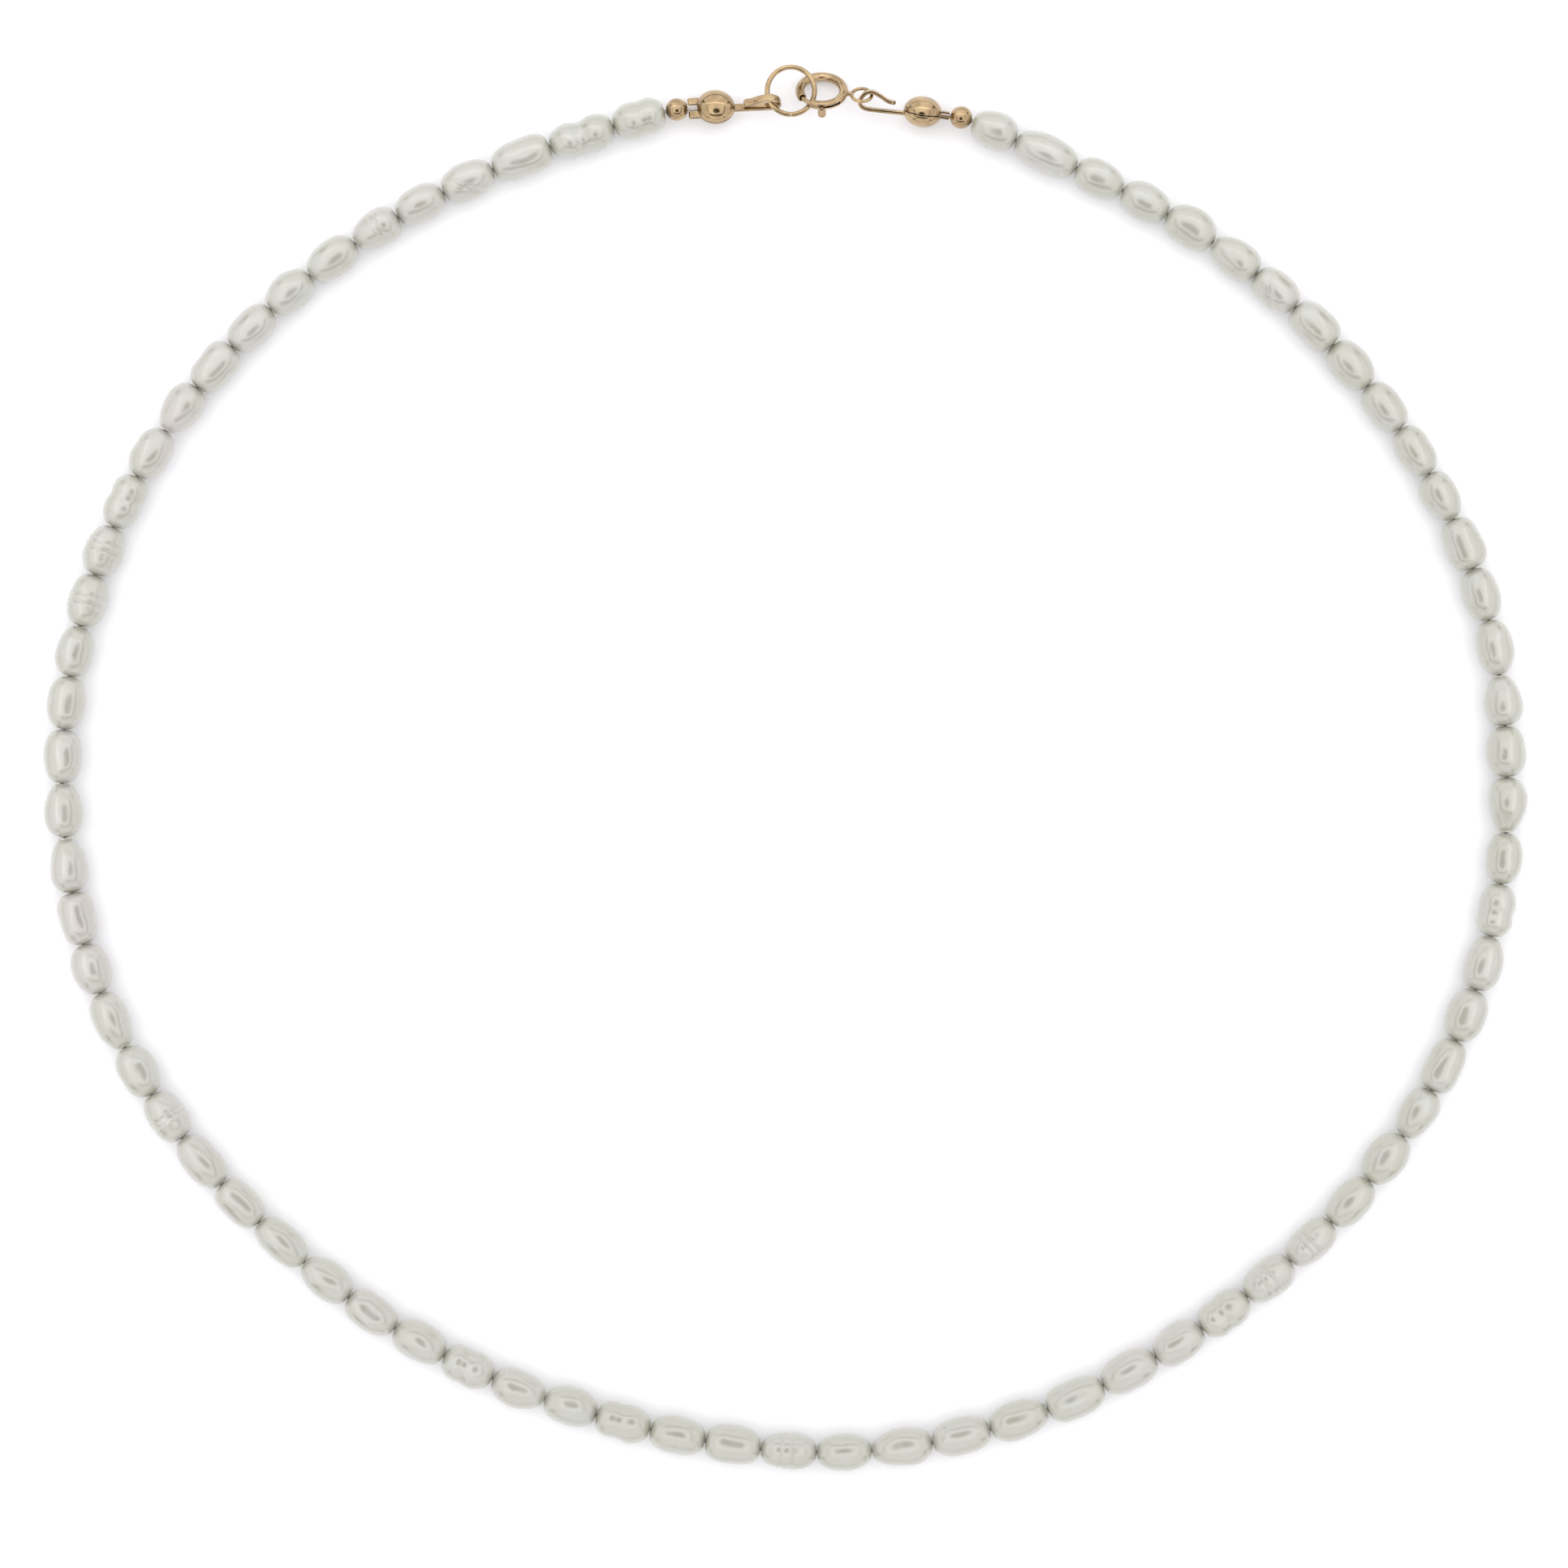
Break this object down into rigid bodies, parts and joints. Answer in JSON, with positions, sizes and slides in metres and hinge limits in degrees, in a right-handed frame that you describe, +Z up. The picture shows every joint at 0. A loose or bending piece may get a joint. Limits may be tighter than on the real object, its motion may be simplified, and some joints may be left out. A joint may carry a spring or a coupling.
{
  "type": "pearl necklace",
  "caption": "Single strand necklace of oval pearls on a thread, with gold end beads, bead tips, a jump ring and a spring ring clasp.",
  "frame": {"origin": "on the surface that the necklace lies on, under the middle of its outline", "axes": "+Z up out of the surface, +Y towards the clasp, +X to the right; the longer width of the laid oval is along X"},
  "size_m": [0.1374, 0.1304, 0.0045],
  "materials": {
    "pearl": "satin",
    "gold": "polished",
    "steel": "satin",
    "thread": "matte"
  },
  "bodies": {
    "pearls_01": {"pearls_01": "pearl"},
    "pearls_02": {"pearls_02": "pearl"},
    "pearls_03": {"pearls_03": "pearl"},
    "pearls_04": {"pearls_04": "pearl"},
    "pearls_05": {"pearls_05": "pearl"},
    "pearls_06": {"pearls_06": "pearl"},
    "pearls_07": {"pearls_07": "pearl"},
    "pearls_08": {"pearls_08": "pearl"},
    "pearls_09": {"pearls_09": "pearl"},
    "pearls_10": {"pearls_10": "pearl"},
    "pearls_11": {"pearls_11": "pearl"},
    "pearls_12": {"pearls_12": "pearl"},
    "pearls_13": {"pearls_13": "pearl"},
    "pearls_14": {"pearls_14": "pearl"},
    "pearls_15": {"pearls_15": "pearl"},
    "pearls_16": {"pearls_16": "pearl"},
    "pearls_17": {"pearls_17": "pearl"},
    "pearls_18": {"pearls_18": "pearl"},
    "pearls_19": {"pearls_19": "pearl", "thread": "thread"},
    "pearls_20": {"pearls_20": "pearl"},
    "pearls_21": {"pearls_21": "pearl"},
    "pearls_22": {"pearls_22": "pearl"},
    "pearls_23": {"pearls_23": "pearl"},
    "pearls_24": {"pearls_24": "pearl"},
    "pearls_25": {"pearls_25": "pearl"},
    "pearls_26": {"pearls_26": "pearl"},
    "pearls_27": {"pearls_27": "pearl"},
    "pearls_28": {"pearls_28": "pearl"},
    "pearls_29": {"pearls_29": "pearl"},
    "pearls_30": {"pearls_30": "pearl"},
    "pearls_31": {"pearls_31": "pearl"},
    "pearls_32": {"pearls_32": "pearl"},
    "pearls_33": {"pearls_33": "pearl"},
    "pearls_34": {"pearls_34": "pearl"},
    "pearls_35": {"pearls_35": "pearl"},
    "pearls_36": {"pearls_36": "pearl"},
    "pearls_37": {"pearls_37": "pearl"},
    "tip_left": {"tip_base_left": "gold", "crimp_left": "steel"},
    "tip_right": {"tip_base_right": "gold", "crimp_right": "steel"},
    "cover_left": {"tip_cover_left": "gold"},
    "cover_right": {"tip_cover_right": "gold"},
    "bead_left": {"end_bead_left": "gold"},
    "bead_right": {"end_bead_right": "gold"},
    "jump_ring": {"jump_ring": "gold"},
    "clasp": {"clasp_tube": "gold", "clasp_eye": "gold", "clasp_spring": "steel"},
    "trigger": {"clasp_bolt": "gold"}
  },
  "joints": [
    {"name": "loop_squeeze", "type": "hinge", "parent": "pearls_19", "child": "pearls_18", "pos_m": [-0.00738, -0.06235, 0.00175], "axis": [0, 0, 1], "range_deg": [-5.3, 5.3], "deforming": ["thread"]},
    {"name": "bend_tip_left", "type": "hinge", "parent": "pearls_01", "child": "tip_left", "pos_m": [-0.01111, 0.06086, 0.00175], "axis": [0, 0, 1], "range_deg": [-7.58, 7.58]},
    {"name": "bend_01_02", "type": "hinge", "parent": "pearls_02", "child": "pearls_01", "pos_m": [-0.02175, 0.05761, 0.00175], "axis": [0, 0, 1], "range_deg": [-6.37, 6.37]},
    {"name": "bend_02_03", "type": "hinge", "parent": "pearls_03", "child": "pearls_02", "pos_m": [-0.03162, 0.05331, 0.00175], "axis": [0, 0, 1], "range_deg": [-4.58, 4.58]},
    {"name": "bend_03_04", "type": "hinge", "parent": "pearls_04", "child": "pearls_03", "pos_m": [-0.03984, 0.04864, 0.00175], "axis": [0, 0, 1], "range_deg": [-2.68, 2.68]},
    {"name": "bend_04_05", "type": "hinge", "parent": "pearls_05", "child": "pearls_04", "pos_m": [-0.04768, 0.04257, 0.00175], "axis": [0, 0, 1], "range_deg": [-2.39, 2.39]},
    {"name": "bend_05_06", "type": "hinge", "parent": "pearls_06", "child": "pearls_05", "pos_m": [-0.05446, 0.03528, 0.00175], "axis": [0, 0, 1], "range_deg": [-2.37, 2.37]},
    {"name": "bend_06_07", "type": "hinge", "parent": "pearls_07", "child": "pearls_06", "pos_m": [-0.06002, 0.02704, 0.00175], "axis": [0, 0, 1], "range_deg": [-4.02, 4.02]},
    {"name": "bend_07_08", "type": "hinge", "parent": "pearls_08", "child": "pearls_07", "pos_m": [-0.06394, 0.01792, 0.00175], "axis": [0, 0, 1], "range_deg": [-5.22, 5.22]},
    {"name": "bend_08_09", "type": "hinge", "parent": "pearls_09", "child": "pearls_08", "pos_m": [-0.06627, 0.00851, 0.00175], "axis": [0, 0, 1], "range_deg": [-5.86, 5.86]},
    {"name": "bend_09_10", "type": "hinge", "parent": "pearls_10", "child": "pearls_09", "pos_m": [-0.06698, -0.00141, 0.00175], "axis": [0, 0, 1], "range_deg": [-5.96, 5.96]},
    {"name": "bend_10_11", "type": "hinge", "parent": "pearls_11", "child": "pearls_10", "pos_m": [-0.06607, -0.01154, 0.00175], "axis": [0, 0, 1], "range_deg": [-5.51, 5.51]},
    {"name": "bend_11_12", "type": "hinge", "parent": "pearls_12", "child": "pearls_11", "pos_m": [-0.06347, -0.02088, 0.00175], "axis": [0, 0, 1], "range_deg": [-4.62, 4.62]},
    {"name": "bend_12_13", "type": "hinge", "parent": "pearls_13", "child": "pearls_12", "pos_m": [-0.05871, -0.03027, 0.00175], "axis": [0, 0, 1], "range_deg": [-3.27, 3.27]},
    {"name": "bend_13_14", "type": "hinge", "parent": "pearls_14", "child": "pearls_13", "pos_m": [-0.0522, -0.03856, 0.00175], "axis": [0, 0, 1], "range_deg": [-2.39, 2.39]},
    {"name": "bend_14_15", "type": "hinge", "parent": "pearls_15", "child": "pearls_14", "pos_m": [-0.04455, -0.04581, 0.00175], "axis": [0, 0, 1], "range_deg": [-2.39, 2.39]},
    {"name": "bend_15_16", "type": "hinge", "parent": "pearls_16", "child": "pearls_15", "pos_m": [-0.03613, -0.0519, 0.00175], "axis": [0, 0, 1], "range_deg": [-2.78, 2.78]},
    {"name": "bend_16_17", "type": "hinge", "parent": "pearls_17", "child": "pearls_16", "pos_m": [-0.02708, -0.05655, 0.00175], "axis": [0, 0, 1], "range_deg": [-4.19, 4.19]},
    {"name": "bend_17_18", "type": "hinge", "parent": "pearls_18", "child": "pearls_17", "pos_m": [-0.0175, -0.05997, 0.00175], "axis": [0, 0, 1], "range_deg": [-5.24, 5.24]},
    {"name": "bend_19_20", "type": "hinge", "parent": "pearls_19", "child": "pearls_20", "pos_m": [0.00295, -0.06343, 0.00175], "axis": [0, 0, 1], "range_deg": [-5.8, 5.8]},
    {"name": "bend_20_21", "type": "hinge", "parent": "pearls_20", "child": "pearls_21", "pos_m": [0.01366, -0.06255, 0.00175], "axis": [0, 0, 1], "range_deg": [-5.24, 5.24]},
    {"name": "bend_21_22", "type": "hinge", "parent": "pearls_21", "child": "pearls_22", "pos_m": [0.02436, -0.05949, 0.00175], "axis": [0, 0, 1], "range_deg": [-4.13, 4.13]},
    {"name": "bend_22_23", "type": "hinge", "parent": "pearls_22", "child": "pearls_23", "pos_m": [0.03436, -0.0546, 0.00175], "axis": [0, 0, 1], "range_deg": [-2.62, 2.62]},
    {"name": "bend_23_24", "type": "hinge", "parent": "pearls_23", "child": "pearls_24", "pos_m": [0.04281, -0.04893, 0.00175], "axis": [0, 0, 1], "range_deg": [-2.39, 2.39]},
    {"name": "bend_24_25", "type": "hinge", "parent": "pearls_24", "child": "pearls_25", "pos_m": [0.05064, -0.0421, 0.00175], "axis": [0, 0, 1], "range_deg": [-2.39, 2.39]},
    {"name": "bend_25_26", "type": "hinge", "parent": "pearls_25", "child": "pearls_26", "pos_m": [0.05729, -0.03413, 0.00175], "axis": [0, 0, 1], "range_deg": [-3.09, 3.09]},
    {"name": "bend_26_27", "type": "hinge", "parent": "pearls_26", "child": "pearls_27", "pos_m": [0.06223, -0.02525, 0.00175], "axis": [0, 0, 1], "range_deg": [-4.32, 4.32]},
    {"name": "bend_27_28", "type": "hinge", "parent": "pearls_27", "child": "pearls_28", "pos_m": [0.06546, -0.01561, 0.00175], "axis": [0, 0, 1], "range_deg": [-5.21, 5.21]},
    {"name": "bend_28_29", "type": "hinge", "parent": "pearls_28", "child": "pearls_29", "pos_m": [0.06685, -0.00601, 0.00175], "axis": [0, 0, 1], "range_deg": [-5.69, 5.69]},
    {"name": "bend_29_30", "type": "hinge", "parent": "pearls_29", "child": "pearls_30", "pos_m": [0.06675, 0.00392, 0.00175], "axis": [0, 0, 1], "range_deg": [-5.73, 5.73]},
    {"name": "bend_30_31", "type": "hinge", "parent": "pearls_30", "child": "pearls_31", "pos_m": [0.06526, 0.01372, 0.00175], "axis": [0, 0, 1], "range_deg": [-5.3, 5.3]},
    {"name": "bend_31_32", "type": "hinge", "parent": "pearls_31", "child": "pearls_32", "pos_m": [0.06194, 0.02309, 0.00175], "axis": [0, 0, 1], "range_deg": [-4.36, 4.36]},
    {"name": "bend_32_33", "type": "hinge", "parent": "pearls_32", "child": "pearls_33", "pos_m": [0.05706, 0.03147, 0.00175], "axis": [0, 0, 1], "range_deg": [-2.98, 2.98]},
    {"name": "bend_33_34", "type": "hinge", "parent": "pearls_33", "child": "pearls_34", "pos_m": [0.05079, 0.0392, 0.00175], "axis": [0, 0, 1], "range_deg": [-2.39, 2.39]},
    {"name": "bend_34_35", "type": "hinge", "parent": "pearls_34", "child": "pearls_35", "pos_m": [0.04372, 0.04584, 0.00175], "axis": [0, 0, 1], "range_deg": [-2.39, 2.39]},
    {"name": "bend_35_36", "type": "hinge", "parent": "pearls_35", "child": "pearls_36", "pos_m": [0.03546, 0.05139, 0.00175], "axis": [0, 0, 1], "range_deg": [-4.04, 4.04]},
    {"name": "bend_36_37", "type": "hinge", "parent": "pearls_36", "child": "pearls_37", "pos_m": [0.02699, 0.0556, 0.00175], "axis": [0, 0, 1], "range_deg": [-6.01, 6.01]},
    {"name": "bend_tip_right", "type": "hinge", "parent": "pearls_37", "child": "tip_right", "pos_m": [0.0174, 0.05998, 0.0018], "axis": [0, 0, 1], "range_deg": [-7.84, 7.84]},
    {"name": "bead_spin_left", "type": "hinge", "parent": "tip_left", "child": "bead_left", "pos_m": [-0.01001, 0.06103, 0.00175], "axis": [-0.9918, -0.1277, 0], "continuous": true},
    {"name": "cover_fold_left", "type": "hinge", "parent": "tip_left", "child": "cover_left", "pos_m": [-0.00876, 0.06111, 0.00175], "axis": [0.0962, -0.9155, 0.3907], "range_deg": [0, 60]},
    {"name": "bead_spin_right", "type": "hinge", "parent": "tip_right", "child": "bead_right", "pos_m": [0.01633, 0.06029, 0.00183], "axis": [-0.9694, 0.2435, 0.0307], "continuous": true},
    {"name": "cover_fold_right", "type": "hinge", "parent": "tip_right", "child": "cover_right", "pos_m": [0.01509, 0.06047, 0.00188], "axis": [0.0318, 0.3093, -0.9504], "range_deg": [0, 60]},
    {"name": "trigger_pull", "type": "hinge", "parent": "clasp", "child": "trigger", "pos_m": [0.00342, 0.06274, 0.00183], "axis": [0, 0.6946, 0.7194], "range_deg": [0, 40], "stiffness_Nm_per_rad": 0.006, "deforming": ["clasp_spring"]},
    {"name": "ring_lift", "type": "hinge", "parent": "tip_left", "child": "jump_ring", "pos_m": [-0.00091, 0.06194, 0.00202], "axis": [0, -1, 0], "range_deg": [-15, 15]},
    {"name": "clasp_lift", "type": "hinge", "parent": "tip_right", "child": "clasp", "pos_m": [0.00747, 0.06209, 0.00215], "axis": [0, 1, 0], "range_deg": [-15, 15]}
  ],
  "couplings": [
    {"joint": "bend_tip_left", "follows": "loop_squeeze", "ratio": 1.335},
    {"joint": "bend_01_02", "follows": "loop_squeeze", "ratio": 1.1083},
    {"joint": "bend_02_03", "follows": "loop_squeeze", "ratio": 0.76917},
    {"joint": "bend_03_04", "follows": "loop_squeeze", "ratio": 0.41178},
    {"joint": "bend_04_05", "follows": "loop_squeeze", "ratio": -0.35599},
    {"joint": "bend_05_06", "follows": "loop_squeeze", "ratio": -0.3529},
    {"joint": "bend_06_07", "follows": "loop_squeeze", "ratio": -0.66507},
    {"joint": "bend_07_08", "follows": "loop_squeeze", "ratio": -0.89035},
    {"joint": "bend_08_09", "follows": "loop_squeeze", "ratio": -1.0121},
    {"joint": "bend_09_10", "follows": "loop_squeeze", "ratio": -1.0309},
    {"joint": "bend_10_11", "follows": "loop_squeeze", "ratio": -0.94454},
    {"joint": "bend_11_12", "follows": "loop_squeeze", "ratio": -0.77682},
    {"joint": "bend_12_13", "follows": "loop_squeeze", "ratio": -0.52231},
    {"joint": "bend_13_14", "follows": "loop_squeeze", "ratio": -0.35599},
    {"joint": "bend_14_15", "follows": "loop_squeeze", "ratio": 0.35599},
    {"joint": "bend_15_16", "follows": "loop_squeeze", "ratio": 0.43029},
    {"joint": "bend_16_17", "follows": "loop_squeeze", "ratio": 0.69708},
    {"joint": "bend_17_18", "follows": "loop_squeeze", "ratio": 0.89368},
    {"joint": "bend_19_20", "follows": "loop_squeeze", "ratio": -1.0004},
    {"joint": "bend_20_21", "follows": "loop_squeeze", "ratio": -0.89344},
    {"joint": "bend_21_22", "follows": "loop_squeeze", "ratio": -0.684},
    {"joint": "bend_22_23", "follows": "loop_squeeze", "ratio": -0.39917},
    {"joint": "bend_23_24", "follows": "loop_squeeze", "ratio": -0.35599},
    {"joint": "bend_24_25", "follows": "loop_squeeze", "ratio": 0.35599},
    {"joint": "bend_25_26", "follows": "loop_squeeze", "ratio": 0.48838},
    {"joint": "bend_26_27", "follows": "loop_squeeze", "ratio": 0.7203},
    {"joint": "bend_27_28", "follows": "loop_squeeze", "ratio": 0.88953},
    {"joint": "bend_28_29", "follows": "loop_squeeze", "ratio": 0.97899},
    {"joint": "bend_29_30", "follows": "loop_squeeze", "ratio": 0.9871},
    {"joint": "bend_30_31", "follows": "loop_squeeze", "ratio": 0.90475},
    {"joint": "bend_31_32", "follows": "loop_squeeze", "ratio": 0.72768},
    {"joint": "bend_32_33", "follows": "loop_squeeze", "ratio": 0.46762},
    {"joint": "bend_33_34", "follows": "loop_squeeze", "ratio": 0.35599},
    {"joint": "bend_34_35", "follows": "loop_squeeze", "ratio": -0.35599},
    {"joint": "bend_35_36", "follows": "loop_squeeze", "ratio": -0.66786},
    {"joint": "bend_36_37", "follows": "loop_squeeze", "ratio": -1.0404},
    {"joint": "bend_tip_right", "follows": "loop_squeeze", "ratio": -1.3847},
    {"joint": "clasp_lift", "follows": "ring_lift", "ratio": 0.706}
  ]
}
